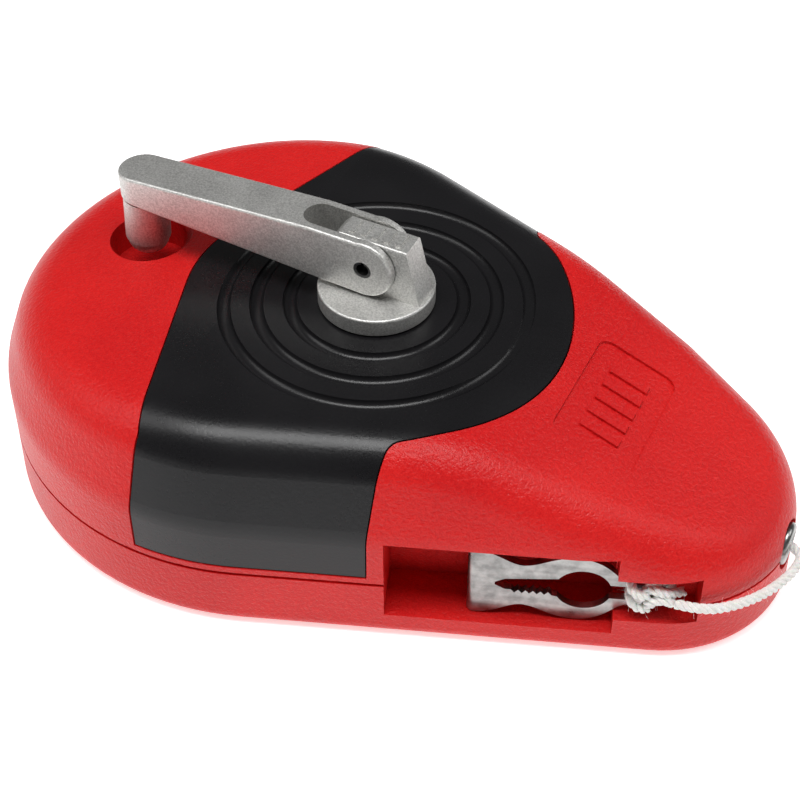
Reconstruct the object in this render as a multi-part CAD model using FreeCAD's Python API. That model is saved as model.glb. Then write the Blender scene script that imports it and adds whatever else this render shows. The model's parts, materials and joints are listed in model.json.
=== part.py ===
"""Chalk line reel: a die-cast teardrop casing with a folding crank, a spool of line and an end hook.

Frame: millimetres, +Z up. The origin is on the reel's axis, in the plane of the flat back face.
+X points to the nose, where the line comes out. The end hook is stored in the -Y flank.
"""
import FreeCAD, Part
import math
import os

V = FreeCAD.Vector

# Casing outline: a tail circle and a nose circle joined by their outer tangents.
TAIL_R = 46.2
TAIL_X = -18.8
NOSE_R = 22.8
NOSE_X = 49.2
FLANK_SIN = (TAIL_R - NOSE_R) / (NOSE_X - TAIL_X)
FLANK_COS = math.sqrt(1.0 - FLANK_SIN ** 2)
FLANK_DEG = math.degrees(math.asin(FLANK_SIN))

# Casing heights and walls.
PARTING_Z = 11.5
TOP_Z = 35.0
WAIST = 0.5                 # how far the parting line is in from the foot's outline
KNEE_Z = 21.0               # the upper walls are steep up to here, and slope in above
LOW_LEAN = 0.03             # inward slope under the knee
HIGH_LEAN = 0.38            # and over it
KNEE_R = 9.0
EDGE_R = 8.5                # large round along the top edge
BASE_EDGE_R = 2.4
LOWER_WALL = 2.6
UPPER_WALL = 4.4
ROOF = 4.6
TAIL_SLOPE_START = -20.0
TAIL_DROP = 4.0             # fall of the roof from there to the tail end
NOSE_SLOPE_START = 24.5
NOSE_SLOPE = 0.37
CREASE_R = 40.0             # round where the flat roof turns into a slope

# Grip cover: a black saddle let into the upper casing.
COVER_T = 2.0
COVER_GAP = 0.25
COVER_TAIL_X = -19.4        # where its tail edge goes down the walls
COVER_APEX_X = -33.4
COVER_APEX_R = 26.0
COVER_NOSE_X = 16.0
COVER_DISC_R = 31.6
COVER_CORNER_R = 3.0
COVER_FOOT_Z = PARTING_Z + 1.3
GROOVE_RADII = (13.9, 19.2, 24.4)
GROOVE_R = 1.15
GROOVE_DEPTH = 0.95

# Reel axis parts.
SPINDLE_R = 3.0
BUSH_R = 5.2
SPOOL_R = 28.5
SPOOL_CORE_R = 8.0
SPOOL_Z = (4.6, 26.6)
FLANGE_T = 1.4
WOUND_R = 23.5
LINE_R = 0.85

# Hub and crank.
HUB_R = 9.4
HUB_FOOT_Z = TOP_Z + 0.2
HUB_TOP_Z = 38.3
TONGUE_T = 4.9
HINGE_X = -0.4
HINGE_Z = 43.6
HINGE_PIN_R = 1.5
ARM_T = 8.0
ARM_SLOT_T = 5.3
ARM_END_R = 4.0
ARM_EAR_R = 5.0
ARM_CROTCH_X = -12.2
KNOB_X = -42.6
KNOB_Z = 42.0               # underside of the arm at the knob
KNOB_TILT = 4.4             # degrees: the knob stands square to the arm's underside
KNOB_R = 3.8
KNOB_L = 11.4
KNOB_HEAD_L = 2.9
POCKET_X = -43.4
POCKET_R = 6.5
POCKET_FLOOR_Z = 26.5
POCKET_RIM_Z = 32.4         # where its small rim bevel starts

# Hook pocket in the -Y flank, measured along the flank from below the reel's axis.
HOOK_POCKET_X = (18.6, 51.4)
HOOK_POCKET_Z = (4.9, 20.6)
HOOK_POCKET_DEPTH = 9.5
LINE_SLOT_X = 63.2
LINE_SLOT_Z = (8.0, 16.8)
LINE_SLOT_DEPTH = 6.4

FLANK_D = TAIL_R + TAIL_X * FLANK_SIN    # distance of the flank's plane from the reel's axis
EYELET_Z = PARTING_Z
EYELET_FACE_X = NOSE_X + NOSE_R - WAIST
EYELET_BORE_R = 1.5
EYELET_R = 2.6
EYELET_SINK = 1.5

# Fasteners: six screws from the back face, and four studs that hold the grip cover.
SCREW_XY = ((-48.0, 23.9), (-48.0, -23.9), (8.0, 32.5), (8.0, -32.5), (56.0, 14.0), (56.0, -14.0))
SCREW_BOSS_R = 4.2
SCREW_R = 1.5
STUD_XY = ((-14.0, 20.0), (-14.0, -20.0), (18.0, 16.0), (18.0, -16.0))
STUD_R = 1.4

# Chalk door: a slide in the back face, under the chamber in front of the spool.
DOOR_X = (38.0, 60.0)
DOOR_Y = 10.0
DOOR_TRAVEL = 16.0
DOOR_T = 1.3
WINDOW_X = (41.0, 56.0)
WINDOW_Y = 7.0

# Line from the spool to the eyelet, and from the eyelet round the nose to the hook.
INNER_ROUTE = [(9.3, 22.7, 12.0), (63.2, 0.0, EYELET_Z), (70.3, 0.0, EYELET_Z)]
OUTER_ROUTE = [(70.3, 0.0, 11.5), (74.9, 0.0, 11.5), (74.4, -4.9, 11.7), (71.6, -10.8, 12.0),
               (67.7, -15.6, 12.3), (63.4, -19.1, 12.5), (59.6, -19.8, 12.7)]

# End hook, in the flank's own plane: s runs along it to the nose.
HOOK_DEPTH = 2.2
HOOK_T = 1.2
HOOK_S0 = 19.0
HOOK_S1 = 46.2
HOOK_MID_Z = 12.3
HOOK_EYE_S = 35.3
HOOK_EYE_R = 4.3
HOOK_THROAT = 1.5
HOOK_FLANGE_DEPTH = 8.4


def export(name, shape):
    """Write one node, after checking that it is a valid set of solids."""
    shape = shape.removeSplitter()
    if not shape.isValid() or shape.Volume <= 0:
        raise ValueError(name + " is not a valid solid")
    shape.exportStep("parts/" + name + ".step")
    print(name, len(shape.Solids), "solid(s)", round(shape.Volume, 1), "mm3")
    return shape


def cylinder(radius, z0, z1, x=0.0, y=0.0):
    return Part.makeCylinder(radius, z1 - z0, V(x, y, z0))


def box(x0, x1, y0, y1, z0, z1):
    return Part.makeBox(x1 - x0, y1 - y0, z1 - z0, V(x0, y0, z0))


def ring(outer, inner, z0, z1, x=0.0, y=0.0):
    return cylinder(outer, z0, z1, x, y).cut(cylinder(inner, z0 - 1, z1 + 1, x, y))


def polar(radius, degrees, z=0.0, x=0.0):
    angle = math.radians(degrees)
    return V(x + radius * math.cos(angle), radius * math.sin(angle), z)


def teardrop(inset, z):
    """The casing's outline at height z, moved in by inset."""
    tail, nose = TAIL_R - inset, NOSE_R - inset
    turn = 90.0 - FLANK_DEG
    tail_near, tail_far = polar(tail, -turn, z, TAIL_X), polar(tail, turn, z, TAIL_X)
    nose_near, nose_far = polar(nose, -turn, z, NOSE_X), polar(nose, turn, z, NOSE_X)
    return Part.Wire([
        Part.Arc(tail_far, V(TAIL_X - tail, 0, z), tail_near).toShape(),
        Part.LineSegment(tail_near, nose_near).toShape(),
        Part.Arc(nose_near, V(NOSE_X + nose, 0, z), nose_far).toShape(),
        Part.LineSegment(nose_far, tail_far).toShape(),
    ])


def tub(inset, z0, z1):
    """The lower shell's form between two heights, whose walls draw in by WAIST up to the parting line."""
    draft = WAIST / PARTING_Z
    return Part.makeLoft([teardrop(inset + draft * z0, z0), teardrop(inset + draft * z1, z1)], True, True)


def prism_y(points, half_width):
    """A polygon in the XZ plane, extruded evenly to both sides of it."""
    wire = Part.makePolygon([V(x, -half_width, z) for x, z in points + points[:1]])
    return Part.Face(wire).extrude(V(0, 2 * half_width, 0))


def roof_tool(drop):
    """Everything under the roof line, which is flat over the reel and slopes to the tail and nose."""
    tail_end, nose_end = TAIL_X - TAIL_R - 5, NOSE_X + NOSE_R + 5
    tail_rate = TAIL_DROP / (TAIL_SLOPE_START - (TAIL_X - TAIL_R))
    top = TOP_Z - drop
    points = [
        (tail_end, top - tail_rate * (TAIL_SLOPE_START - tail_end)), (TAIL_SLOPE_START, top),
        (NOSE_SLOPE_START, top), (nose_end, top - NOSE_SLOPE * (nose_end - NOSE_SLOPE_START)),
        (nose_end, -5.0), (tail_end, -5.0),
    ]
    solid = prism_y(points, TAIL_R + 5)
    creases = [e for e in solid.Edges if e.BoundBox.XLength < 0.01 and e.BoundBox.ZMin > top - 0.01]
    return solid.makeFillet(CREASE_R, creases)


def rim_edges(body):
    """The edges where the roof meets the walls."""
    found = []
    for edge in body.Edges:
        middle = edge.valueAt((edge.FirstParameter + edge.LastParameter) / 2)
        faces = [f for f in body.Faces if any(e.isSame(edge) for e in f.Edges)]
        rises = [f.normalAt(*f.Surface.parameter(middle)).z for f in faces]
        if middle.z > PARTING_Z and len(rises) == 2 and (rises[0] > 0.8) != (rises[1] > 0.8):
            found.append(edge)
    return found


def tapered(inset, slope, ref_z):
    """A teardrop solid whose walls lean in by slope, with this inset at height ref_z."""
    top = TOP_Z + 4
    low = teardrop(inset - slope * (ref_z - PARTING_Z), PARTING_Z)
    high = teardrop(inset + slope * (top - ref_z), top)
    return Part.makeLoft([low, high], True, True)


def envelope(inset, drop, edge_r):
    """The upper casing's outer form, moved in by inset and down by drop, with its knee and top edge rounded."""
    foot = inset + WAIST
    knee = foot + LOW_LEAN * (KNEE_Z - PARTING_Z)
    body = tapered(foot, LOW_LEAN, PARTING_Z).common(tapered(knee, HIGH_LEAN, KNEE_Z))
    bends = [e for e in body.Edges if abs(e.BoundBox.ZMin - KNEE_Z) < 0.01 and e.BoundBox.ZLength < 0.01]
    body = body.makeFillet(KNEE_R - inset, bends).common(roof_tool(drop))
    return body.makeFillet(edge_r, rim_edges(body))


def flank_s(x):
    """Distance along the flank's surface of the point on it with this x."""
    return (x - FLANK_D * FLANK_SIN) / FLANK_COS


def on_flank(s0, s1, z0, z1, depth0, depth1):
    """A box set square to the -Y flank, between two depths below its surface."""
    solid = Part.makeBox(s1 - s0, depth1 - depth0, z1 - z0, V(s0, depth0 - FLANK_D, z0))
    solid.rotate(V(0, 0, 0), V(0, 0, 1), FLANK_DEG)
    return solid


def plate_on_flank(wire_edges, depth, thickness):
    """A plate parallel to the -Y flank. Its outline is drawn with x along the flank and y up."""
    face = Part.Face(Part.Wire(wire_edges))
    solid = face.extrude(V(0, 0, -thickness))
    solid.rotate(V(0, 0, 0), V(1, 0, 0), 90)
    solid.translate(V(0, depth - FLANK_D, 0))
    solid.rotate(V(0, 0, 0), V(0, 0, 1), FLANK_DEG)
    return solid


def flank_point(s, depth, z):
    """A point at distance s along the -Y flank and at a depth below its surface."""
    out = FLANK_D - depth
    return V(out * FLANK_SIN + s * FLANK_COS, s * FLANK_SIN - out * FLANK_COS, z)


def tube(points, radius):
    """A round cord along straight runs joined by tangent arcs, as large as the runs allow."""
    points = [V(*p) for p in points]
    edges, start, length = [], points[0], 0.0
    for before, at, after in zip(points, points[1:], points[2:]):
        back, ahead = before - at, after - at
        run = min(back.Length, ahead.Length)
        turn = math.pi - back.getAngle(ahead)
        bend = 0.45 * run / math.tan(turn / 2)
        entry = at + back * (0.45 * run / back.Length)
        leave = at + ahead * (0.45 * run / ahead.Length)
        inward = (entry + leave) * 0.5 - at
        middle = at + inward * ((bend / math.cos(turn / 2) - bend) / inward.Length)
        edges += [Part.LineSegment(start, entry).toShape(), Part.Arc(entry, middle, leave).toShape()]
        length += (entry - start).Length + bend * turn
        start = leave
        print("  bend radius", round(bend, 2))
    edges.append(Part.LineSegment(start, points[-1]).toShape())
    length += (points[-1] - start).Length
    section = Part.Wire([Part.makeCircle(radius, points[0], points[1] - points[0])])
    solid = Part.Wire(edges).makePipeShell([section], True, False)
    print("  cord length", round(length, 1), "volume ratio",
          round(solid.Volume / (math.pi * radius ** 2 * length), 3))
    return solid


def cover_zone(gap):
    """The upright prism that the grip cover fills, moved in by gap at its edges."""
    tail, nose, disc = COVER_TAIL_X + gap, COVER_NOSE_X - gap, COVER_DISC_R - gap
    far, side = TAIL_R + 5, TAIL_R - 6
    corner = math.sqrt(disc ** 2 - nose ** 2)
    outline = [V(nose, -corner, 0), V(nose, -far, 0), V(tail, -far, 0), V(tail, -side, 0),
               V(COVER_APEX_X + gap, 0, 0), V(tail, side, 0), V(tail, far, 0), V(nose, far, 0), V(nose, corner, 0)]
    edges = [Part.LineSegment(a, b).toShape() for a, b in zip(outline, outline[1:])]
    edges.append(Part.Arc(outline[-1], V(disc, 0, 0), outline[0]).toShape())
    prism = Part.Face(Part.Wire(edges)).extrude(V(0, 0, TOP_Z + 5 - COVER_FOOT_Z - gap))
    prism.translate(V(0, 0, COVER_FOOT_Z + gap))
    upright = [e for e in prism.Edges if e.BoundBox.ZLength > 5]
    apex = [e for e in upright if abs(e.BoundBox.YMin) < 0.01 and e.BoundBox.XMax < 0]
    corners = [e for e in upright if abs(abs(e.BoundBox.YMin) - corner) < 0.01]
    return prism.makeFillet(COVER_APEX_R, apex).makeFillet(COVER_CORNER_R, corners)


def hook_pocket(margin=0.0):
    """The hollow in the -Y flank for the hook, with the narrower slot for the knot and the line."""
    s0, s1, s2 = flank_s(HOOK_POCKET_X[0]), flank_s(HOOK_POCKET_X[1]), flank_s(LINE_SLOT_X)
    outside = -6.0 if margin == 0 else -0.01
    wide = on_flank(s0 - margin, s1 + margin, HOOK_POCKET_Z[0] - margin, HOOK_POCKET_Z[1] + margin,
                    outside, HOOK_POCKET_DEPTH + margin)
    narrow = on_flank(s1 - 1.0, s2 + margin, LINE_SLOT_Z[0] - margin, LINE_SLOT_Z[1] + margin,
                      outside, LINE_SLOT_DEPTH + margin)
    return wide.fuse(narrow)


def gasket_band(slack):
    """The loop between the two shells, stopped short of the hook pocket and the eyelet."""
    band = tub(0.8 - slack, PARTING_Z - 0.5 - slack, PARTING_Z + 0.5 + slack)
    band = band.cut(tub(1.8 + slack, PARTING_Z - 2, PARTING_Z + 2))
    stop = 1.9 - slack
    band = band.cut(on_flank(flank_s(HOOK_POCKET_X[0]) - stop, flank_s(LINE_SLOT_X) + stop, 0, 30, -6, 8))
    return band.cut(box(EYELET_FACE_X - 10, EYELET_FACE_X + 5, -5 + slack, 5 - slack, 0, 30))


def parting_groove():
    """The fine groove along the line where the two shells meet."""
    band = tub(-2.0, PARTING_Z - 0.3, PARTING_Z + 0.3)
    return band.cut(tub(0.5, PARTING_Z - 1, PARTING_Z + 1))


def eyelet_bore():
    """The hole for the eyelet's barrel, with the round recess that its lip sits in."""
    hole = Part.makeCylinder(EYELET_R + 0.03, 14, V(EYELET_FACE_X - 8, 0, EYELET_Z), V(1, 0, 0))
    return hole.fuse(Part.makeCylinder(EYELET_R + 1.5, 8, V(EYELET_FACE_X - EYELET_SINK, 0, EYELET_Z), V(1, 0, 0)))


def door_plate(x0, x1, slack):
    """A plate with slanted sides, wider at its inner face, so that it can't fall out of its groove."""
    half, top = DOOR_Y + slack, 0.4 + DOOR_T + slack
    low = half - 1.0
    points = [V(x0, -low, 0.4), V(x0, low, 0.4), V(x0, half, top), V(x0, -half, top)]
    return Part.Face(Part.makePolygon(points + points[:1])).extrude(V(x1 - x0, 0, 0))


def make_lower_casing():
    """The die-cast back shell, with the spindle's foot bearing and the slide door's groove."""
    outer = tub(0, 0, PARTING_Z)
    foot = [e for e in outer.Edges if e.BoundBox.ZMax < 0.01]
    outer = outer.makeFillet(BASE_EDGE_R, foot)
    inside = tub(LOWER_WALL, LOWER_WALL, PARTING_Z + 1)
    shell = outer.cut(inside)
    bosses = [cylinder(SCREW_BOSS_R, 1, PARTING_Z, x, y) for x, y in SCREW_XY]
    bosses.append(cylinder(7.0, 1, 3.1))
    bosses.append(box(DOOR_X[0] - DOOR_TRAVEL - 2, DOOR_X[1] + 2, -DOOR_Y - 2, DOOR_Y + 2, 1, 3.4))
    bosses += [box(x, x + 1.2, -4.5, 7.5, 1, 8.4) for x in (56.6, 62.6)]
    bosses.append(hook_pocket(1.8))
    inner_form = outer.cut(cylinder(200, PARTING_Z, 60))
    for boss in bosses:
        shell = shell.fuse(boss.common(inner_form))
    shell = shell.cut(hook_pocket()).cut(cylinder(100, PARTING_Z, 60)).cut(eyelet_bore())
    shell = shell.cut(cylinder(2.05, 1.0, 4)).cut(gasket_band(0.05)).cut(parting_groove())
    groove = door_plate(DOOR_X[0] - DOOR_TRAVEL - 0.3, DOOR_X[1] + 0.3, 0.08)
    mouth = box(DOOR_X[0] - DOOR_TRAVEL - 0.3, DOOR_X[1] + 0.3, 1.05 - DOOR_Y, DOOR_Y - 1.05, -1, 1.0)
    window = box(*WINDOW_X, -WINDOW_Y, WINDOW_Y, 0, 5)
    shell = shell.cut(groove).cut(mouth).cut(window)
    for x, y in SCREW_XY:
        shell = shell.cut(cylinder(SCREW_R + 0.15, -1, PARTING_Z + 1, x, y)).cut(cylinder(3.1, -1, 2.2, x, y))
    return shell


def make_upper_casing():
    """The die-cast front shell, recessed for the grip cover, with the knob's pocket and the badge panel."""
    outer = envelope(0, 0, EDGE_R)
    seat = COVER_T + COVER_GAP
    core = envelope(seat, seat, EDGE_R - seat)
    cavity = envelope(UPPER_WALL, ROOF, EDGE_R - UPPER_WALL)
    shell = outer.cut(cover_zone(0)).fuse(core).cut(cavity)
    lugs = [cylinder(SCREW_BOSS_R, PARTING_Z, 22, x, y) for x, y in SCREW_XY]
    lugs.append(cylinder(POCKET_R + 1.8, POCKET_FLOOR_Z - 1.8, TOP_Z, POCKET_X))
    lugs.append(cylinder(8.6, 29.8, 33))
    lugs.append(hook_pocket(1.8))
    for lug in lugs:
        shell = shell.fuse(lug.common(core))
    shell = shell.cut(cylinder(POCKET_R, POCKET_FLOOR_Z, TOP_Z + 5, POCKET_X))
    shell = shell.cut(Part.makeCone(POCKET_R, POCKET_R + 4, 4, V(POCKET_X, 0, POCKET_RIM_Z)))
    shell = shell.cut(cylinder(BUSH_R + 0.02, 20, 60)).cut(cylinder(7.5, TOP_Z - 2.0, 60))
    shell = shell.cut(hook_pocket()).cut(eyelet_bore()).cut(gasket_band(0.05))
    shell = shell.cut(cylinder(100, -5, PARTING_Z)).cut(badge_panel()).cut(parting_groove())
    for x, y in SCREW_XY:
        shell = shell.cut(cylinder(SCREW_R, PARTING_Z - 1, 19, x, y))
    for x, y in STUD_XY:
        shell = shell.cut(cylinder(STUD_R + 0.05, 25, 60, x, y))
    return shell


def nose_roof_z(x):
    return TOP_Z - NOSE_SLOPE * (x - NOSE_SLOPE_START)


def badge_panel():
    """A shallow rounded rectangle sunk in the nose, with plain raised ribs left standing in it."""
    x0, x1, half, deep = 34.5, 47.6, 11.2, 0.5
    panel = box(x0, x1, -half, half, 10, 40)
    panel = panel.makeFillet(2.0, [e for e in panel.Edges if e.BoundBox.ZLength > 5])
    for y in (-6.4, -3.2, 0.0, 3.2, 6.4):
        panel = panel.cut(box(x0 + 3.4, x1 - 3.4, y - 0.8, y + 0.8, 10, 40))
    floor = prism_y([(x0 - 2, nose_roof_z(x0 - 2) - deep), (x1 + 2, nose_roof_z(x1 + 2) - deep),
                     (x1 + 2, 45), (x0 - 2, 45)], half + 2)
    return panel.common(floor)


def make_grip_cover():
    """The grip saddle over the top and both flanks, with three round grooves about the hub."""
    zone = cover_zone(COVER_GAP).cut(envelope(COVER_T, COVER_T, EDGE_R - COVER_T))
    cover = envelope(0.15, 0.0, EDGE_R - 0.15).common(zone).cut(cylinder(7.9, 20, 60))
    for radius in GROOVE_RADII:
        cover = cover.cut(Part.makeTorus(radius, GROOVE_R, V(0, 0, TOP_Z + GROOVE_R - GROOVE_DEPTH)))
    for x, y in STUD_XY:
        cover = cover.fuse(cylinder(STUD_R, 28.6, TOP_Z - 1.5, x, y))
    return cover


def make_spool():
    """The line's spool: a core between two flanges, each with a ring of holes."""
    low, high = SPOOL_Z
    spool = ring(SPOOL_CORE_R, SPINDLE_R + 0.06, low, high)
    for z in (low, high - FLANGE_T):
        spool = spool.fuse(ring(SPOOL_R, SPINDLE_R + 0.06, z, z + FLANGE_T))
    for step in range(6):
        at = polar(26.0, 30 + 60 * step)
        spool = spool.cut(cylinder(1.3, low - 1, high + 1, at.x, at.y))
    return spool


def make_spindle():
    """The reel's axle: a foot pin, a flange under the spool, a journal and a squared head."""
    shaft = cylinder(2.0, 1.1, 3.3).fuse(cylinder(5.0, 3.2, 3.8)).fuse(cylinder(SPINDLE_R, 3.7, 27.0))
    return shaft.fuse(box(-2.0, 2.0, -2.0, 2.0, 26.5, 33.0))


def make_crank_hub():
    """The crank's hub: a stem in the bush, the round disc, and the tongue that the arm straddles."""
    hub = cylinder(4.0, 27.4, HUB_TOP_Z - 1)
    disc = cylinder(HUB_R, HUB_FOOT_Z, HUB_TOP_Z)
    disc = disc.makeFillet(0.35, [e for e in disc.Edges if e.Length > 50])
    crown = 48.3
    points = [(-6.1, HUB_TOP_Z - 1), (-6.1, crown - 1.0), (-5.1, crown), (6.4, 48.0), (8.9, HUB_TOP_Z - 1)]
    tongue = prism_y(points, TONGUE_T / 2)
    crown_edges = [e for e in tongue.Edges if e.BoundBox.ZMin > crown - 1.2 and e.BoundBox.YLength < 0.01]
    tongue = tongue.makeFillet(0.4, crown_edges)
    hub = hub.fuse(disc).fuse(tongue)
    for step in range(5):
        x = -3.9 + 2.0 * step
        hub = hub.fuse(box(x, x + 0.9, -1.5, 1.5, 47.6, 48.5))
    hub = hub.cut(box(-2.03, 2.03, -2.03, 2.03, 26, 33.1))
    return hub.cut(y_cylinder(HINGE_PIN_R + 0.05, 10, HINGE_X, HINGE_Z))


def y_cylinder(radius, half_length, x, z):
    return Part.makeCylinder(radius, 2 * half_length, V(x, -half_length, z), V(0, 1, 0))


def edge_is_outer(edge, half):
    """True for an edge that lies in one of the arm's two side faces."""
    return edge.BoundBox.YLength < 0.01 and abs(abs(edge.BoundBox.YMin) - half) < 0.01


def make_crank_arm():
    """The folding arm: a tapering bar, forked round the tongue, with ears for the roll pin."""
    half, slot = ARM_T / 2, ARM_SLOT_T / 2
    side = [(-55.0, 46.7), (-10.0, 48.7), (HINGE_X, 48.4), (HINGE_X, HINGE_Z - ARM_EAR_R),
            (-8.0, 39.1), (-55.0, 42.9)]
    bar = prism_y(side, half).fuse(y_cylinder(ARM_EAR_R, half, HINGE_X, HINGE_Z))
    plan = box(KNOB_X, 20, -half, half, 30, 60).fuse(cylinder(ARM_END_R, 30, 60, KNOB_X))
    fork = box(ARM_CROTCH_X + slot, 20, -slot, slot, 30, 60)
    fork = fork.fuse(cylinder(slot, 30, 60, ARM_CROTCH_X + slot))
    bar = bar.common(plan).removeSplitter()
    bar = bar.makeFillet(0.45, [e for e in bar.Edges if edge_is_outer(e, half)]).cut(fork)
    return bar.cut(y_cylinder(HINGE_PIN_R + 0.01, 10, HINGE_X, HINGE_Z)).cut(knob_bar(1.81, -3.5, 1))


def knob_bar(radius, start, end):
    """A round bar on the knob's axis, between two distances below the arm's underside."""
    tilt = math.radians(KNOB_TILT)
    down = V(-math.sin(tilt), 0, -math.cos(tilt))
    return Part.makeCylinder(radius, end - start, V(KNOB_X, 0, KNOB_Z) + down * start, down)


def make_knob_post():
    """The post in the arm's end, with the domed head that keeps the sleeve on."""
    head = knob_bar(KNOB_R - 0.3, KNOB_L - KNOB_HEAD_L, KNOB_L)
    rim = [e for e in head.Edges if e.BoundBox.ZMax < KNOB_Z - KNOB_L + 0.5 and e.Length > 15]
    return knob_bar(1.8, -3.4, KNOB_L - 1).fuse(head.makeFillet(2.6, rim))


def make_knob_sleeve():
    return knob_bar(KNOB_R, 0.25, KNOB_L - KNOB_HEAD_L - 0.1).cut(knob_bar(1.86, -1, KNOB_L))


def make_hinge_pin():
    """A slotted roll pin, rolled from spring strip."""
    pin = y_cylinder(HINGE_PIN_R, ARM_T / 2 - 0.1, HINGE_X, HINGE_Z)
    pin = pin.cut(y_cylinder(HINGE_PIN_R - 0.45, 10, HINGE_X, HINGE_Z))
    return pin.cut(box(HINGE_X - 0.25, HINGE_X + 0.25, -10, 10, HINGE_Z, HINGE_Z + 3))


def make_hub_bush():
    """The flanged bush in the roof, which the hub's stem turns in."""
    return ring(BUSH_R, 4.04, 29.9, TOP_Z).fuse(ring(7.3, 4.04, TOP_Z - 1.0, TOP_Z))


def make_clutch_disc():
    """The fibre disc that the stem turns, which drives the spool by friction and can slip."""
    return ring(9.5, 4.04, 26.7, 28.1)


def make_clutch_spring():
    """A dished spring washer between the bush and the clutch disc."""
    outline = [V(4.4, 0, 29.2), V(7.6, 0, 28.2), V(7.8, 0, 28.6), V(4.6, 0, 29.6)]
    face = Part.Face(Part.makePolygon(outline + outline[:1]))
    return face.revolve(V(0, 0, 0), V(0, 0, 1), 360)


def make_felt_wiper():
    """The felt block between two ribs, which the line runs through."""
    block = box(58.1, 62.3, -4.0, 7.0, 3.5, 15.4)
    start, bend = V(*INNER_ROUTE[0]), V(*INNER_ROUTE[1])
    return block.cut(Part.makeCylinder(LINE_R + 0.35, 90, start, bend - start))


def make_line_eyelet():
    """The steel grommet in the nose, split evenly over the parting line."""
    axis = V(1, 0, 0)
    seat_x = EYELET_FACE_X - EYELET_SINK
    barrel = Part.makeCylinder(EYELET_R, 6.0, V(seat_x - 5.5, 0, EYELET_Z), axis)
    lip = Part.makeTorus(EYELET_R + 0.1, 0.8, V(seat_x + 0.85, 0, EYELET_Z), axis)
    disc = Part.makeCylinder(EYELET_R + 0.1, 0.9, V(seat_x + 0.05, 0, EYELET_Z), axis)
    bore = Part.makeCylinder(EYELET_BORE_R, 20, V(EYELET_FACE_X - 10, 0, EYELET_Z), axis)
    return barrel.fuse(disc).fuse(lip).cut(bore)


def curve(points):
    spline = Part.BSplineCurve()
    spline.interpolate([V(s, z, 0) for s, z in points])
    return spline.toShape()


def line2(a, b):
    return Part.LineSegment(V(a[0], a[1], 0), V(b[0], b[1], 0)).toShape()


def make_end_hook():
    """The stamped hook: two jaws round a nail opening, a toothed slot, and a bent finger tab."""
    s0, s1, mid = HOOK_S0, HOOK_S1, HOOK_MID_Z
    upper = [(s0, mid + 7.1), (s0 + 2.2, mid + 6.8), (s0 + 6.9, mid + 4.6), (s0 + 12.2, mid + 6.5),
             (s0 + 17.4, mid + 6.7), (s0 + 19.8, mid + 5.3), (s0 + 21.4, mid + 3.7), (s1, mid + 3.1)]
    lower = [(s, 2 * mid - z) for s, z in reversed(upper)]
    outline = [curve(upper), line2(upper[-1], lower[0]), curve(lower), line2(lower[-1], upper[0])]
    hook = plate_on_flank(outline, HOOK_DEPTH, HOOK_T)
    tip, wide = s0 + 3.0, HOOK_EYE_S - 3.6
    slot = [V(tip, mid + 0.3, 0), V(tip + 1.5, mid + 1.2, 0), V(wide, mid + 2.1, 0), V(wide, mid - 2.1, 0)]
    pitch = (wide - 1.4 - tip - 1.5) / 6
    for tooth in range(6):
        s = wide - 1.0 - pitch * tooth
        slot += [V(s, mid - 1.9, 0), V(s - pitch * 0.5, mid - 1.2, 0)]
    slot += [V(tip + 1.5, mid - 1.2, 0), V(tip, mid - 0.3, 0)]
    hook = hook.cut(plate_on_flank(Part.makePolygon(slot + slot[:1]).Edges, HOOK_DEPTH - 1, 4))
    eye = Part.makeCircle(HOOK_EYE_R, V(HOOK_EYE_S, mid, 0))
    hook = hook.cut(plate_on_flank([eye], HOOK_DEPTH - 1, 4))
    hook = hook.cut(on_flank(HOOK_EYE_S + 3, s1 + 2, mid - HOOK_THROAT, mid + HOOK_THROAT, 0, 6))
    tab = on_flank(s0 - HOOK_T + 0.01, s0 + 0.01, mid - 7.1, mid + 7.1, HOOK_DEPTH, HOOK_FLANGE_DEPTH)
    hook = hook.fuse(tab).removeSplitter()
    corner = flank_point(s0 - HOOK_T + 0.01, HOOK_DEPTH, mid)
    bend = [e for e in hook.Edges if e.distToShape(Part.Vertex(corner))[0] < 0.02]
    return hook.makeFillet(HOOK_T - 0.1, bend)


def make_line_knot():
    """The overhand knot that ties the line to both jaws."""
    knot = Part.makeSphere(2.9)
    knot.translate(flank_point(HOOK_S1 + 0.5, HOOK_DEPTH + 0.6, HOOK_MID_Z + 0.2))
    return knot


def make_chalk_door():
    """The slide door, with finger grooves across its outer face."""
    door = door_plate(*DOOR_X, 0.0)
    for step in range(4):
        x = DOOR_X[0] + 5 + 1.8 * step
        door = door.cut(box(x, x + 0.8, -4, 4, 0, 0.8))
    return door


def screw(x, y):
    head = cylinder(2.8, 0.5, 2.1, x, y).cut(cylinder(1.0, 0, 1.3, x, y))
    return head.fuse(cylinder(SCREW_R - 0.02, 2.0, 18.0, x, y))


def make_cover_clips():
    """Push nuts on the cover's studs, under the casing's roof."""
    return [ring(3.2, STUD_R + 0.02, 29.7, 30.2, x, y) for x, y in STUD_XY]


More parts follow.
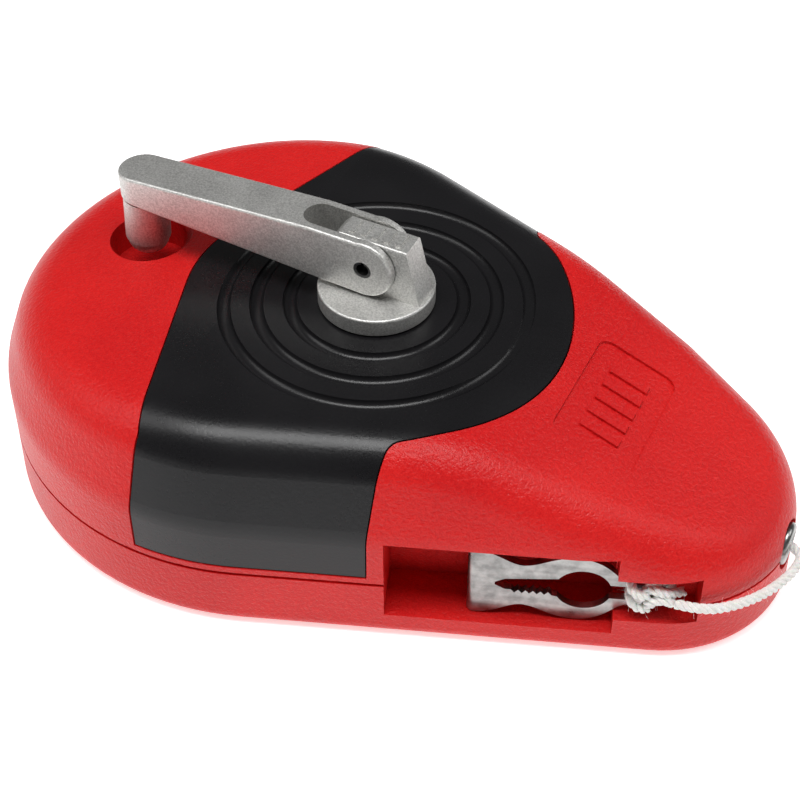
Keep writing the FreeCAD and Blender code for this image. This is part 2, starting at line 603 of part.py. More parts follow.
def main():
    os.makedirs("parts", exist_ok=True)
    export("lower_casing", make_lower_casing())
    export("upper_casing", make_upper_casing())
    export("grip_cover", make_grip_cover())
    export("casing_gasket", gasket_band(0))
    export("casing_screws", Part.makeCompound([screw(x, y) for x, y in SCREW_XY]))
    export("cover_clips", Part.makeCompound(make_cover_clips()))
    export("chalk_door", make_chalk_door())
    export("reel_spool", make_spool())
    export("spool_washer", ring(6.5, SPINDLE_R + 0.05, 3.9, 4.5))
    export("wound_line", ring(WOUND_R, SPOOL_CORE_R + 0.02, SPOOL_Z[0] + FLANGE_T + 0.1, SPOOL_Z[1] - FLANGE_T - 0.1))
    export("spindle", make_spindle())
    export("hub_bush", make_hub_bush())
    export("clutch_disc", make_clutch_disc())
    export("clutch_spring", make_clutch_spring())
    export("crank_hub", make_crank_hub())
    export("crank_arm", make_crank_arm())
    export("arm_hinge_pin", make_hinge_pin())
    export("knob_post", make_knob_post())
    export("knob_sleeve", make_knob_sleeve())
    export("felt_wiper", make_felt_wiper())
    export("line_eyelet", make_line_eyelet())
    export("inner_line_run", tube(INNER_ROUTE, LINE_R))
    export("chalk_line", tube(OUTER_ROUTE, LINE_R))
    export("line_knot", make_line_knot())
    export("end_hook", make_end_hook())


main()
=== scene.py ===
"""The looks of a chalk line reel: finishes, the twisted line, light, floor and camera."""

import json
import logging
import math
import random
from dataclasses import dataclass, field
from enum import Enum
from typing import Callable, Sequence, Union

import bmesh
import bpy
from mathutils import Matrix, Vector

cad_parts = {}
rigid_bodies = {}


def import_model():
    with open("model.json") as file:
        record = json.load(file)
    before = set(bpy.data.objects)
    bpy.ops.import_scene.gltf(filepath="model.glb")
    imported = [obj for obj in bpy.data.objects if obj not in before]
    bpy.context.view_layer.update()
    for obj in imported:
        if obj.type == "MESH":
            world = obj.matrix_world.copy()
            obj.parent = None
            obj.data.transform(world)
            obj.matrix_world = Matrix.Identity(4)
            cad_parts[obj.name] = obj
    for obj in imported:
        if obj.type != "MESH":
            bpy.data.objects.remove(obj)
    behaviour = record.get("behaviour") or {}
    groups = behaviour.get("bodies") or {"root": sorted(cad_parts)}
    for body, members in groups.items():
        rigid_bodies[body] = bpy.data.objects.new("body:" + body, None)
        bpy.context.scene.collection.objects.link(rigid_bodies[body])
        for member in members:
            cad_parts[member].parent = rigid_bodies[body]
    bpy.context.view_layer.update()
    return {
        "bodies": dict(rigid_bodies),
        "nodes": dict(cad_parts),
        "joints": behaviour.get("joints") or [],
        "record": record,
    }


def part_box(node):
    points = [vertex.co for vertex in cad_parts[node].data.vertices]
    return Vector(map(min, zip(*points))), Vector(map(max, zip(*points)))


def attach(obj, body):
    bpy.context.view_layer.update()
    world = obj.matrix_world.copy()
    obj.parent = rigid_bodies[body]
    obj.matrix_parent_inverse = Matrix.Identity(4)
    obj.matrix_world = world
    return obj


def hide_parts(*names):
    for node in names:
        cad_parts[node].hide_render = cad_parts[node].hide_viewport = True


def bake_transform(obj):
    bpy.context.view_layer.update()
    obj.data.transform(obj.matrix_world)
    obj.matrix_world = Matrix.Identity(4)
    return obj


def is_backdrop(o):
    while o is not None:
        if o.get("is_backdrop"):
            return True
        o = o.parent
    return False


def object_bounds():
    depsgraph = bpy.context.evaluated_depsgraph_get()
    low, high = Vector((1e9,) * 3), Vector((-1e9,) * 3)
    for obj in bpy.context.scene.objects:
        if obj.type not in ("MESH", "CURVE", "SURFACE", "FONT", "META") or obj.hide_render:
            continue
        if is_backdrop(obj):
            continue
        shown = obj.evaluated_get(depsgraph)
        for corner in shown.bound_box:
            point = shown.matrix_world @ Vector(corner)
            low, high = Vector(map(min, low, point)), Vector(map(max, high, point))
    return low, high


LOG = logging.getLogger("chalk_reel")
MM = 0.001
TINY = 1e-9
WELD = 1e-6

Operand = Union["Wire", int, float]
Key = Union[str, int]
Point = tuple[float, float, float]


class Body(Enum):
    """The rigid bodies that new pieces ride on, by the names in the record."""

    CASING = "casing"
    SPOOL = "spool"
    HOOK = "hook"


class Slot(Enum):
    """The record's material slots by name; no piece here takes its finish from them."""

    COTTON = "cotton_line"


def seen_from(azimuth: float, elevation: float) -> Vector:
    """The direction from the reel to something that looks at it.

    Args:
        azimuth: in radians, 0 for something that looks along +Y.
        elevation: in radians over the floor.

    Returns:
        A unit vector.
    """
    across = math.cos(elevation)
    return Vector((math.sin(azimuth) * across, -math.cos(azimuth) * across, math.sin(elevation)))


# ---------------------------------------------------------------- shader maths


class Wire:
    """One output socket, with arithmetic that adds Math nodes to its tree."""

    def __init__(self, bench: "Bench", socket: bpy.types.NodeSocket) -> None:
        """Wraps a socket.

        Args:
            bench: the node tree's builder.
            socket: the output to carry on from.
        """
        self.bench = bench
        self.socket = socket

    def _math(self, operation: str, *values: Operand) -> "Wire":
        """One Math node.

        Args:
            operation: the node's operation.
            values: its inputs in order.

        Returns:
            The node's output.
        """
        inputs = dict(enumerate(values))
        return self.bench.node("ShaderNodeMath", {"operation": operation}, inputs)

    def __add__(self, other: Operand) -> "Wire":
        """Sum."""
        return self._math("ADD", self, other)

    __radd__ = __add__

    def __sub__(self, other: Operand) -> "Wire":
        """Difference."""
        return self._math("SUBTRACT", self, other)

    def __rsub__(self, other: Operand) -> "Wire":
        """Difference from a plain number."""
        return self._math("SUBTRACT", other, self)

    def __mul__(self, other: Operand) -> "Wire":
        """Product."""
        return self._math("MULTIPLY", self, other)

    __rmul__ = __mul__

    def fade(self, low: float, high: float) -> "Wire":
        """Maps a range smoothly to 0 to 1 and clamps it.

        Args:
            low: the value that gives 0.
            high: the value that gives 1.

        Returns:
            The mapped value.
        """
        return self.bench.node(
            "ShaderNodeMapRange",
            {"interpolation_type": "SMOOTHSTEP"},
            {"Value": self, "From Min": low, "From Max": high, "To Min": 0.0, "To Max": 1.0},
        )


class Bench:
    """Builds one material's nodes."""

    def __init__(self, name: str) -> None:
        """Starts an empty node material.

        Args:
            name: the material's name.
        """
        self.material = bpy.data.materials.new(name)
        self.material.use_nodes = True
        self.tree = self.material.node_tree
        self.tree.nodes.clear()
        self.output = self.tree.nodes.new("ShaderNodeOutputMaterial")

    def node(
        self,
        kind: str,
        settings: dict[str, object] | None = None,
        inputs: dict[Key, object] | None = None,
        out: Key = 0,
    ) -> Wire:
        """Adds any node.

        Args:
            kind: the node's type.
            settings: its own properties, set before its sockets.
            inputs: values or wires by socket name or number.
            out: the output to return.

        Returns:
            The chosen output.
        """
        made = self.tree.nodes.new(kind)
        for key, value in (settings or {}).items():
            setattr(made, key, value)
        for key, value in (inputs or {}).items():
            if isinstance(value, Wire):
                self.tree.links.new(value.socket, made.inputs[key])
            else:
                made.inputs[key].default_value = value
        return Wire(self, made.outputs[out])

    def place(self) -> Wire:
        """The point's own place on the reel, in metres."""
        return self.node("ShaderNodeTexCoord", out="Object")

    def stretched(self, scale: Point) -> Wire:
        """Object coordinates, scaled.

        Args:
            scale: factors along X, Y and Z.

        Returns:
            The mapped coordinates.
        """
        inputs = {"Vector": self.place(), "Scale": scale}
        return self.node("ShaderNodeMapping", {}, inputs)

    def noise(self, grain_mm: float, detail: float = 2.0, rough: float = 0.5) -> Wire:
        """Soft noise on the object's own coordinates.

        Args:
            grain_mm: the size of its largest spots.
            detail: octaves.
            rough: how strong the finer octaves are.

        Returns:
            A value round 0.5.
        """
        inputs = {
            "Vector": self.place(), "Scale": 1000.0 / grain_mm,
            "Detail": detail, "Roughness": rough,
        }
        return self.node("ShaderNodeTexNoise", {}, inputs, "Fac")

    def mix(self, amount: Operand, low: Sequence[float], high: Sequence[float]) -> Wire:
        """A colour between two.

        Args:
            amount: 0 for low, 1 for high.
            low: the first colour.
            high: the second colour.

        Returns:
            The mixed colour.
        """
        inputs = {0: amount, 6: (*low, 1.0), 7: (*high, 1.0)}
        return self.node("ShaderNodeMix", {"data_type": "RGBA"}, inputs, 2)

    def bump(
        self, height: Wire, depth_mm: float, strength: float = 1.0, over: Wire | None = None
    ) -> Wire:
        """A Bump node.

        Args:
            height: the relief, about 0 to 1.
            depth_mm: its full depth.
            strength: how much of it shows.
            over: a relief underneath, or none.

        Returns:
            The bent normal.
        """
        inputs: dict[Key, object] = {
            "Height": height, "Distance": depth_mm * MM, "Strength": strength,
        }
        if over is not None:
            inputs["Normal"] = over
        return self.node("ShaderNodeBump", {}, inputs)

    def surface(self, **sockets: object) -> bpy.types.Material:
        """Ends the tree with a Principled shader.

        Args:
            sockets: values or wires, with underscores for the spaces in the socket names.

        Returns:
            The finished material.
        """
        inputs = {key.replace("_", " "): value for key, value in sockets.items()}
        shader = self.node("ShaderNodeBsdfPrincipled", {}, inputs)
        self.tree.links.new(shader.socket, self.output.inputs["Surface"])
        return self.material


# ---------------------------------------------------------------- finishes


@dataclass(frozen=True)
class PowderCoat:
    """Signal-red textured powder coat over a casting."""

    name: str = "powder_coat_red"
    deep: Point = (0.50, 0.006, 0.008)
    bright: Point = (0.68, 0.016, 0.014)
    peel_mm: float = 0.62
    peel_depth_mm: float = 0.17
    grit_mm: float = 0.26
    grit_depth_mm: float = 0.06
    cloud_mm: float = 26.0
    rough: float = 0.33
    shine: float = 0.24

    def mix(self) -> bpy.types.Material:
        """The finished material."""
        b = Bench(self.name)
        peel = b.noise(self.peel_mm, 2.0, 0.55)
        grit = b.noise(self.grit_mm, 1.0)
        cloud = b.noise(self.cloud_mm)
        blush = (
            cloud.fade(0.35, 0.65) * 0.35 + grit.fade(0.35, 0.7) * 0.4 + peel.fade(0.3, 0.7) * 0.25
        )
        rough = self.rough + 0.12 * grit.fade(0.3, 0.7) - 0.05 * cloud
        under = b.bump(grit, self.grit_depth_mm)
        return b.surface(
            Base_Color=b.mix(blush, self.deep, self.bright), Roughness=rough,
            Normal=b.bump(peel, self.peel_depth_mm, over=under), Specular_IOR_Level=self.shine,
        )


@dataclass(frozen=True)
class Moulding:
    """A moulded plastic or fibre, with a fine spark-eroded grain."""

    name: str
    colour: Point
    pale: Point
    rough: float = 0.4
    grain_mm: float = 0.5
    depth_mm: float = 0.010
    flow_mm: float = 18.0
    swing: float = 0.10
    shine: float = 0.32

    def mix(self) -> bpy.types.Material:
        """The finished material."""
        b = Bench(self.name)
        grain = b.noise(self.grain_mm, 3.0, 0.6)
        flow = b.noise(self.flow_mm)
        rough = self.rough + self.swing * (flow - 0.5) + self.swing * (grain - 0.5)
        shade = flow.fade(0.3, 0.7) * 0.6 + grain * 0.4
        return b.surface(
            Base_Color=b.mix(shade, self.colour, self.pale), Roughness=rough,
            Normal=b.bump(grain, self.depth_mm, 0.8), Specular_IOR_Level=self.shine,
        )


@dataclass(frozen=True)
class CastZinc:
    """A bead-blasted zinc casting: grey, grainy and a little glossy."""

    name: str = "cast_zinc"
    dark: Point = (0.42, 0.415, 0.40)
    light: Point = (0.78, 0.775, 0.75)
    grain_mm: float = 0.30
    depth_mm: float = 0.045
    cloud_mm: float = 7.0
    rough: float = 0.36
    metal: float = 0.82

    def mix(self) -> bpy.types.Material:
        """The finished material."""
        b = Bench(self.name)
        grain = b.noise(self.grain_mm, 3.0, 0.65)
        cloud = b.noise(self.cloud_mm, 3.0)
        shade = grain.fade(0.28, 0.72) * 0.8 + cloud.fade(0.3, 0.7) * 0.2
        return b.surface(
            Base_Color=b.mix(shade, self.dark, self.light), Metallic=self.metal,
            Roughness=self.rough + 0.10 * cloud + 0.08 * grain,
            Normal=b.bump(grain, self.depth_mm),
        )


@dataclass(frozen=True)
class PlatedSteel:
    """Zinc-plated or blackened sheet steel, with rolling lines and faint blotches."""

    name: str
    dark: Point
    light: Point
    rough: float = 0.26
    run: Point = (120.0, 900.0, 2600.0)
    line_depth_mm: float = 0.004
    spot_mm: float = 2.2

    def mix(self) -> bpy.types.Material:
        """The finished material."""
        b = Bench(self.name)
        rolled = {"Vector": b.stretched(self.run), "Scale": 1.0, "Detail": 3.0}
        lines = b.node("ShaderNodeTexNoise", {}, rolled, "Fac")
        spots = b.noise(self.spot_mm, 3.0, 0.6)
        shade = lines.fade(0.3, 0.7) * 0.45 + spots.fade(0.3, 0.7) * 0.55
        return b.surface(
            Base_Color=b.mix(shade, self.dark, self.light), Metallic=1.0,
            Roughness=self.rough + 0.16 * (spots - 0.4) + 0.06 * lines,
            Normal=b.bump(lines, self.line_depth_mm, 0.6),
        )


@dataclass(frozen=True)
class Fibre:
    """Cotton, felt or any other matted fibre."""

    name: str
    dark: Point
    light: Point
    hair_mm: float = 0.22
    depth_mm: float = 0.05
    glow: float = 0.05
    glow_reach: float = 0.8 * MM
    clump_mm: float = 1.6
    rough: float = 0.93
    down: float = 0.35

    def mix(self) -> bpy.types.Material:
        """The finished material."""
        b = Bench(self.name)
        hair = b.noise(self.hair_mm, 4.0, 0.7)
        clump = b.noise(self.clump_mm)
        shade = hair.fade(0.25, 0.7) * 0.6 + clump * 0.4
        return b.surface(
            Base_Color=b.mix(shade, self.dark, self.light), Roughness=self.rough,
            Normal=b.bump(hair, self.depth_mm, 0.9),
            Sheen_Weight=self.down, Sheen_Roughness=0.5,
            Subsurface_Weight=self.glow, Subsurface_Scale=self.glow_reach,
        )


class Finish(Enum):
    """Every finish on the reel."""

    POWDER = PowderCoat()
    GRIP = Moulding(
        "grip_black", (0.0055, 0.0052, 0.006), (0.009, 0.0085, 0.0095),
        rough=0.29, grain_mm=0.50, depth_mm=0.030,
    )
    NYLON = Moulding("natural_nylon", (0.60, 0.58, 0.52), (0.72, 0.70, 0.65), rough=0.45)
    RUBBER = Moulding("gasket_rubber", (0.012, 0.012, 0.012), (0.03, 0.03, 0.03), rough=0.7)
    BROWN_FIBRE = Moulding(
        "brown_fibre", (0.16, 0.06, 0.025), (0.30, 0.14, 0.07),
        rough=0.6, grain_mm=0.3, depth_mm=0.03,
    )
    CASTING = CastZinc()
    ZINC = PlatedSteel(
        "zinc_plate", (0.15, 0.15, 0.147), (0.40, 0.40, 0.39), run=(60.0, 60.0, 420.0)
    )
    SPRING = PlatedSteel("spring_steel", (0.05, 0.05, 0.05), (0.13, 0.13, 0.13), rough=0.32)
    COTTON = Fibre("cotton", (0.62, 0.61, 0.58), (0.93, 0.92, 0.89), glow=0.12)
    FELT = Fibre(
        "grey_felt", (0.26, 0.25, 0.24), (0.48, 0.47, 0.45), hair_mm=0.5, depth_mm=0.12
    )


class Palette:
    """Mixes each finish once and hands it out."""

    def __init__(self) -> None:
        """Starts with nothing mixed."""
        self.mixed: dict[Finish, bpy.types.Material] = {}

    def get(self, finish: Finish) -> bpy.types.Material:
        """One finish's material.

        Args:
            finish: which one.

        Returns:
            Its material, mixed on first use.
        """
        if finish not in self.mixed:
            self.mixed[finish] = finish.value.mix()
        return self.mixed[finish]

    def dress(self, piece: bpy.types.Object, finish: Finish) -> None:
        """Gives a piece one finish all over.

        Args:
            piece: a mesh object.
            finish: its finish.
        """
        piece.data.materials.clear()
        piece.data.materials.append(self.get(finish))


# ---------------------------------------------------------------- making meshes


def mesh_piece(name: str, build: Callable[[bmesh.types.BMesh], None]) -> bpy.types.Object:
    """Makes one smooth-shaded mesh object at the origin.

    Args:
        name: the piece's name.
        build: fills the bmesh, in metres, in place.

    Returns:
        The linked object.
    """
    work = bmesh.new()
    build(work)
    mesh = bpy.data.meshes.new(name)
    work.to_mesh(mesh)
    work.free()
    for face in mesh.polygons:
        face.use_smooth = True
    piece = bpy.data.objects.new(name, mesh)
    bpy.context.scene.collection.objects.link(piece)
    return piece


def curve_object(
    name: str, kind: str, points: Sequence[Vector], radius: float = 0.0
) -> bpy.types.Object:
    """A curve of one open spline.

    Args:
        name: the object's name.
        kind: NURBS or POLY.
        points: its points, in metres.
        radius: its round section, or 0 for a bare line.

    Returns:
        The linked object.
    """
    curve = bpy.data.curves.new(name, "CURVE")
    curve.dimensions = "3D"
    curve.resolution_u = 14
    curve.bevel_depth = radius
    curve.bevel_resolution = 2
    curve.use_fill_caps = radius > 0
    spline = curve.splines.new(kind)
    spline.points.add(len(points) - 1)
    for spot, point in zip(spline.points, points):
        spot.co = (*point, 1.0)
    if kind == "NURBS":
        spline.order_u = 3
        spline.use_endpoint_u = True
    made = bpy.data.objects.new(name, curve)
    bpy.context.scene.collection.objects.link(made)
    return made


def as_mesh(made: bpy.types.Object) -> bpy.types.Mesh:
    """A curve object's mesh; the curve itself is removed.

    Args:
        made: the curve object.

    Returns:
        A new mesh.
    """
    bpy.context.view_layer.update()
    graph = bpy.context.evaluated_depsgraph_get()
    mesh = bpy.data.meshes.new_from_object(made.evaluated_get(graph))
    bpy.data.objects.remove(made)
    return mesh


def smooth_path(route: Sequence[Point], step: float) -> list[Vector]:
    """Even points along the NURBS line of a route.

    Args:
        route: the given points, in millimetres.
        step: distance between the returned points, in metres.

    Returns:
        The points, in metres.
    """
    line = as_mesh(curve_object("route", "NURBS", [Vector(p) * MM for p in route]))
    dense = [v.co.copy() for v in line.vertices]
    bpy.data.meshes.remove(line)
    run = [0.0]
    for a, b in zip(dense, dense[1:]):
        run.append(run[-1] + (b - a).length)
    count = max(2, round(run[-1] / step))
    path, i = [], 0
    for k in range(count + 1):
        want = run[-1] * k / count
        while i < len(run) - 2 and run[i + 1] < want:
            i += 1
        share = (want - run[i]) / max(run[i + 1] - run[i], TINY)
        path.append(dense[i].lerp(dense[i + 1], share))
    return path


def path_length(path: Sequence[Vector]) -> float:
    """The length of a run of points."""
    return sum((b - a).length for a, b in zip(path, path[1:]))


@dataclass
class TwistedLine:
    """A cotton line laid up from three strands."""

    diameter: float = 1.6 * MM
    lay: float = 3.3 * MM
    strands: int = 3
    step: float = 0.24 * MM
    strand_reach: float = 0.27
    strand_share: float = 0.245

    def strand_points(self, path: Sequence[Vector], turn: float) -> list[Vector]:
        """One strand's middle line, wound round the path.

        Args:
            path: the line's own middle.
            turn: where round the line it starts, in radians.

        Returns:
            The strand's points.
        """
        offset = self.diameter * self.strand_reach
        side = (path[1] - path[0]).orthogonal().normalized()
        points, along = [], 0.0
        for i, spot in enumerate(path):
            ahead = (path[min(i + 1, len(path) - 1)] - path[max(i - 1, 0)]).normalized()
            side = (side - ahead * side.dot(ahead)).normalized()
            across = ahead.cross(side)
            angle = turn + math.tau * along / self.lay
            points.append(spot + (side * math.cos(angle) + across * math.sin(angle)) * offset)
            if i + 1 < len(path):
                along += (path[i + 1] - spot).length
        return points

    def build(self, name: str, path: Sequence[Vector]) -> bpy.types.Object:
        """The whole line as one mesh.

        Args:
            name: the piece's name.
            path: even points along its middle.

        Returns:
            The linked object.
        """
        strand_radius = self.diameter * self.strand_share

        def lay_up(work: bmesh.types.BMesh) -> None:
            """Adds every strand's tube."""
            for k in range(self.strands):
                points = self.strand_points(path, math.tau * k / self.strands)
                tube = as_mesh(curve_object("strand", "POLY", points, strand_radius))
                work.from_mesh(tube)
                bpy.data.meshes.remove(tube)
            bmesh.ops.recalc_face_normals(work, faces=work.faces)

        return mesh_piece(name, lay_up)


# ---------------------------------------------------------------- sub-assemblies


@dataclass
class DressedNodes:
    """A set of CAD nodes that keep their shape and take a finish."""

    title: str
    finishes: dict[str, Finish]

    def dress(self, frame: dict, palette: Palette) -> None:
        """Gives each node its finish.

        Args:
            palette: the mixed finishes.
        """
        for node, finish in self.finishes.items():
            palette.dress(frame["nodes"][node], finish)
            LOG.info("%s: %s in %s", self.title, node, finish.name.lower())


def casing() -> DressedNodes:
    """The two shells, all that is fixed in them, and the door in the back."""
    return DressedNodes("casing", {
        "lower_casing": Finish.POWDER,
        "upper_casing": Finish.POWDER,
        "grip_cover": Finish.GRIP,
        "casing_gasket": Finish.RUBBER,
        "casing_screws": Finish.ZINC,
        "cover_clips": Finish.SPRING,
        "hub_bush": Finish.BROWN_FIBRE,
        "clutch_spring": Finish.SPRING,
        "spool_washer": Finish.NYLON,
        "felt_wiper": Finish.FELT,
        "line_eyelet": Finish.ZINC,
        "inner_line_run": Finish.COTTON,
        "chalk_door": Finish.GRIP,
    })


def crank() -> DressedNodes:
    """The hub, the folding arm and the knob."""
    return DressedNodes("crank", {
        "crank_hub": Finish.CASTING,
        "clutch_disc": Finish.BROWN_FIBRE,
        "spindle": Finish.ZINC,
        "crank_arm": Finish.CASTING,
        "arm_hinge_pin": Finish.SPRING,
        "knob_post": Finish.CASTING,
        "knob_sleeve": Finish.CASTING,
    })


@dataclass
class Winding:
    """The spool and the line wound on it, turn beside turn."""

    line: float = 1.7 * MM
    core: float = 8.05 * MM
    arc_steps: int = 5
    spin_steps: int = 96
    palette: Palette = field(default_factory=Palette)

    def build(self, frame: dict) -> None:
        """Makes the wound line, which replaces its plain ring, and dresses the spool.
        """
        low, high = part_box("wound_line")
        turns = int((high.z - low.z) / self.line)
        pitch = (high.z - low.z) / turns
        valley = high.x - pitch * 0.5

        def wind(work: bmesh.types.BMesh) -> None:
            """Spins a scalloped profile round the reel's axis."""
            rim = [work.verts.new((self.core, 0.0, low.z))]
            for k in range(turns):
                for part in range(self.arc_steps):
                    angle = math.pi * part / self.arc_steps
                    z = low.z + pitch * (k + 0.5 - 0.5 * math.cos(angle))
                    rim.append(work.verts.new((valley + pitch * 0.5 * math.sin(angle), 0.0, z)))
            rim.append(work.verts.new((valley, 0.0, high.z)))
            rim.append(work.verts.new((self.core, 0.0, high.z)))
            edges = [work.edges.new(pair) for pair in zip(rim, rim[1:] + rim[:1])]
            bmesh.ops.spin(
                work, geom=rim + edges, cent=(0, 0, 0), axis=(0, 0, 1), angle=math.tau,
                steps=self.spin_steps, use_merge=True,
            )
            bmesh.ops.remove_doubles(work, verts=work.verts, dist=WELD)
            bmesh.ops.recalc_face_normals(work, faces=work.faces)

        piece = mesh_piece("winding", wind)
        self.palette.dress(piece, Finish.COTTON)
        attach(piece, Body.SPOOL.value)
        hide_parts("wound_line")
        self.palette.dress(frame["nodes"]["reel_spool"], Finish.NYLON)


@dataclass
class HookedLine:
    """The free end of the line: round the nose, knotted to the hook, with loose fibres."""

    route: tuple[Point, ...] = (
        (68.9, 0.0, 11.5), (73.9, 0.0, 11.5), (73.7, -5.0, 11.6), (71.1, -11.0, 11.7),
        (67.5, -15.8, 12.0), (63.4, -19.1, 12.4), (59.6, -19.8, 12.7),
    )
    line: TwistedLine = field(default_factory=TwistedLine)
    palette: Palette = field(default_factory=Palette)
    flank_turn: float = math.asin(23.4 / 68.0)
    jaws: tuple[tuple[float, float], ...] = ((0.6, 0.3), (-2.4, 0.0))
    line_hairs: int = 80
    knot_hairs: int = 170
    hair_radius: float = 0.014 * MM
    blend_shift: Point = (0.0, -3.0, 0.0)
    seed: int = 5

    def in_flank(self, along: float, out: float, up: float) -> Vector:
        """A point beside the knot's middle, in the hook's own directions, in millimetres.

        Args:
            along: towards the nose along the flank.
            out: away from the casing.
            up: along +Z.

        Returns:
            The point in metres.
        """
        low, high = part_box("line_knot")
        middle = (low + high) / 2
        shift = Vector((along, -out, up)) * MM
        return middle + Matrix.Rotation(self.flank_turn, 3, "Z") @ shift

    def knot_route(self) -> list[Point]:
        """Points of the knot: from the line, round itself, through the jaws."""
        turns = [
            (3.6, -0.4, 0.1), (2.4, 0.3, 0.5), (0.9, 1.6, 1.5), (-1.0, 1.5, 2.2),
            (-2.4, 0.2, 1.2), (-2.2, -1.3, -0.7), (-0.6, -1.6, -2.0), (1.2, -0.4, -2.1),
            (2.0, 1.2, -0.9), (1.2, 2.1, 0.6), (-0.6, 1.9, 0.4), (-1.9, 1.6, -1.1),
            (-1.4, 0.6, -2.5), (0.4, -0.5, -2.3), (1.9, -1.2, -0.8), (1.7, -1.0, 1.2),
            (0.2, -0.3, 2.4), (-1.5, 0.6, 2.3), (-2.5, 1.6, 0.6), (-3.6, 0.9, -1.5),
        ]
        return [tuple(self.in_flank(*p) / MM) for p in turns]

    def lashing_route(self, lift: float, slant: float) -> list[Point]:
        """Points of one turn that binds a jaw to the knot.

        Args:
            lift: which jaw, as a height over the knot's middle.
            slant: how far the turn leans along the flank.

        Returns:
            The points in millimetres.
        """
        loop = [
            (-1.6, 1.3, 0.0), (-2.6 - slant, 1.9, 0.4), (-4.0 - slant, 1.7, 1.2),
            (-4.4, 0.2, 1.9), (-4.2 - slant, -1.3, 1.1), (-2.8, -1.6, -0.2), (-1.4, -0.9, -0.6),
        ]
        return [tuple(self.in_flank(a, o, lift + u) / MM) for a, o, u in loop]

    def fuzz(self, name: str, paths: Sequence[Sequence[Vector]], count: int) -> bpy.types.Object:
        """Loose hairs that stand off the line.

        Args:
            name: the piece's name.
            paths: the lines that they grow from.
            count: how many.

        Returns:
            The linked object.
        """
        pick = random.Random(self.seed)
        ray = self.line.diameter

        def grow(work: bmesh.types.BMesh) -> None:
            """Adds each hair as a thin bent tube."""
            for _ in range(count):
                path = pick.choice(paths)
                root = pick.choice(path[2:-2])
                away = Vector([pick.uniform(-1, 1) for _ in range(3)]).normalized()
                bend = Vector([pick.uniform(-1, 1) for _ in range(3)]).normalized()
                reach = pick.uniform(0.22, 0.62) * ray
                points = [
                    root + away * ray * 0.35,
                    root + away * (ray * 0.4 + reach * 0.5) + bend * reach * 0.15,
                    root + away * (ray * 0.4 + reach) + bend * reach * 0.5,
                ]
                hair = curve_object("hair", "NURBS", points, self.hair_radius)
                hair.data.resolution_u = 3
                hair.data.bevel_resolution = 0
                tube = as_mesh(hair)
                work.from_mesh(tube)
                bpy.data.meshes.remove(tube)
            bmesh.ops.recalc_face_normals(work, faces=work.faces)

        return mesh_piece(name, grow)

    def build(self, frame: dict) -> None:
        path = smooth_path(self.route, self.line.step)
        free = self.line.build("free_line", path)
        knot_path = smooth_path(self.knot_route(), self.line.step)
        knot = self.line.build("hook_knot", knot_path)
        lashings = [
            smooth_path(self.lashing_route(lift, slant), self.line.step)
            for lift, slant in self.jaws
        ]
        bindings = [
            self.line.build(f"knot_binding_{k}", turn) for k, turn in enumerate(lashings)
        ]
        line_hair = self.fuzz("line_fuzz", [path], self.line_hairs)
        knot_hair = self.fuzz("knot_fuzz", [knot_path, *lashings], self.knot_hairs)
        for piece in (free, knot, line_hair, knot_hair, *bindings):
            self.palette.dress(piece, Finish.COTTON)
        for piece in (knot, knot_hair, *bindings):
            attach(piece, Body.HOOK.value)
        start, end = tuple(path[0] + Vector(self.blend_shift) * MM), tuple(path[-1])
        for piece in (free, line_hair):
            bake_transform(piece)
        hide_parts("chalk_line")
        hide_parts("line_knot")
        path_length(path)
        self.palette.dress(frame["nodes"]["end_hook"], Finish.ZINC)
        LOG.info("free line: %.1f mm", path_length(path) / MM)


# ---------------------------------------------------------------- the studio


@dataclass
class SoftLight:
    """One rectangular soft light that looks at the reel."""

    name: str
    azimuth: float
    elevation: float
    distance: float
    width: float
    height: float
    watts: float

    def hang(self, target: Vector) -> None:
        """Makes the light.

        Args:
            target: the point that it looks at.
        """
        data = bpy.data.lights.new(self.name, "AREA")
        data.shape, data.size, data.size_y = "RECTANGLE", self.width, self.height
        data.energy = self.watts
        lamp = bpy.data.objects.new(self.name, data)
        back = seen_from(math.radians(self.azimuth), math.radians(self.elevation))
        lamp.location = target + back * self.distance
        lamp.rotation_mode = "QUATERNION"
        lamp.rotation_quaternion = (-back).to_track_quat("-Z", "Y")
        bpy.context.scene.collection.objects.link(lamp)


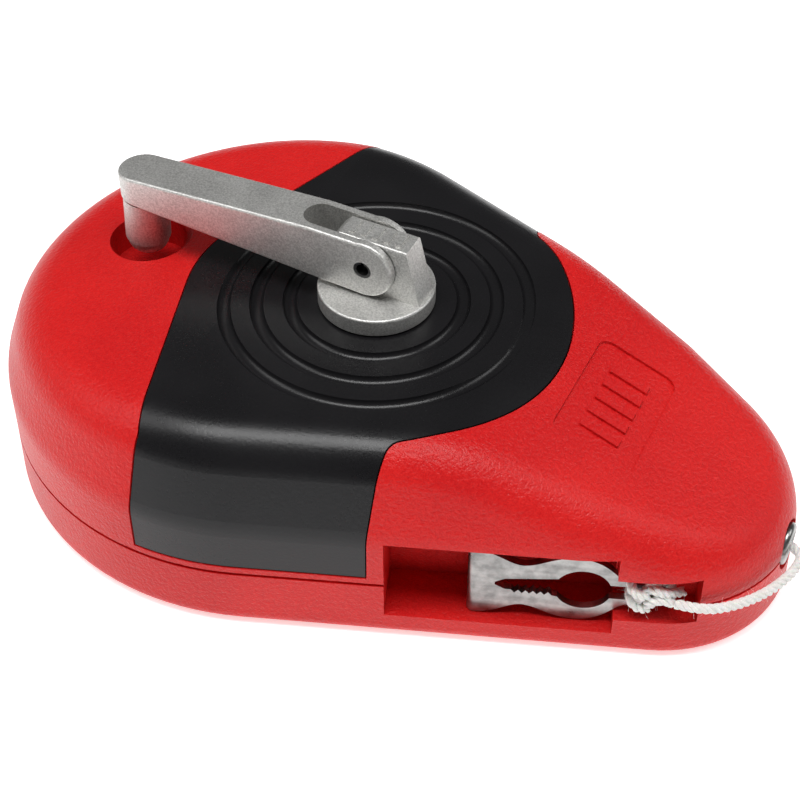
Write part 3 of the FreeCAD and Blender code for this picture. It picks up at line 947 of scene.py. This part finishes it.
@dataclass
class Studio:
    """A pale floor, an even sky, soft lights, and the camera."""

    azimuth: float = 26.5
    elevation: float = 44.24
    roll: float = -0.42
    distance: float = 0.2587
    lens: float = 69.6
    sensor: float = 36.0
    target: Point = (0.0044, -0.0008, 0.015)
    sky: float = 0.12
    floor_half: float = 4.0
    floor_gap: float = 0.2 * MM
    floor_glow: float = 0.58
    lights: tuple[SoftLight, ...] = (
        SoftLight("overhead", 14.0, 80.0, 0.62, 0.50, 0.22, 3.3),
        SoftLight("front_left", -60.0, 44.0, 0.75, 0.30, 0.40, 1.2),
        SoftLight("far_right", 118.0, 42.0, 0.70, 0.30, 0.30, 1.0),
    )

    def floor(self) -> None:
        """Lays the pale floor."""
        b = Bench("pale_floor")
        shade = b.noise(120.0)
        white = b.mix(shade, (0.90, 0.90, 0.90), (0.93, 0.93, 0.93))
        cover = b.surface(
            Base_Color=white, Roughness=0.9, Specular_IOR_Level=0.1,
            Emission_Color=(1.0, 1.0, 1.0, 1.0), Emission_Strength=self.floor_glow,
        )

        def lay(work: bmesh.types.BMesh) -> None:
            """One wide square, just under the reel."""
            bmesh.ops.create_grid(work, x_segments=8, y_segments=8, size=self.floor_half)
            low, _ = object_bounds()
            bmesh.ops.translate(work, verts=work.verts, vec=(0, 0, low.z - self.floor_gap))

        piece = mesh_piece("studio_floor", lay)
        piece.data.materials.append(cover)
        piece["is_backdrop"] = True

    def world(self) -> None:
        """An even pale sky."""
        world = bpy.data.worlds.new("studio_sky")
        world.use_nodes = True
        sockets = world.node_tree.nodes["Background"].inputs
        sockets["Color"].default_value = (1.0, 1.0, 1.0, 1.0)
        sockets["Strength"].default_value = self.sky
        bpy.context.scene.world = world

    def camera(self) -> None:
        """Sets the camera."""
        a, e, r = (math.radians(x) for x in (self.azimuth, self.elevation, self.roll))
        back = seen_from(a, e)
        right = Vector((math.cos(a), math.sin(a), 0.0))
        up = back.cross(right)
        level = Matrix((
            right * math.cos(r) + up * math.sin(r), up * math.cos(r) - right * math.sin(r), back,
        ))
        data = bpy.data.cameras.new("camera")
        data.lens, data.sensor_width = self.lens, self.sensor
        data.clip_start, data.clip_end = 0.01, 20.0
        camera = bpy.data.objects.new("camera", data)
        spot = Vector(self.target) + back * self.distance
        camera.matrix_world = Matrix.Translation(spot) @ level.transposed().to_4x4()
        bpy.context.scene.collection.objects.link(camera)
        bpy.context.scene.camera = camera

    def build(self) -> None:
        """Sets up everything round the reel."""
        self.floor()
        self.world()
        self.camera()
        for light in self.lights:
            light.hang(Vector(self.target))
        view = bpy.context.scene.view_settings
        view.view_transform = "Standard"
        view.look = "None"


def main() -> None:
    """Builds the looks in order."""
    logging.basicConfig(level=logging.INFO, format="%(name)s: %(message)s")
    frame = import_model()
    palette = Palette()
    Studio().build()
    HookedLine(palette=palette).build(frame)
    casing().dress(frame, palette)
    crank().dress(frame, palette)
    Winding(palette=palette).build(frame)


if __name__ == "__main__":
    main()
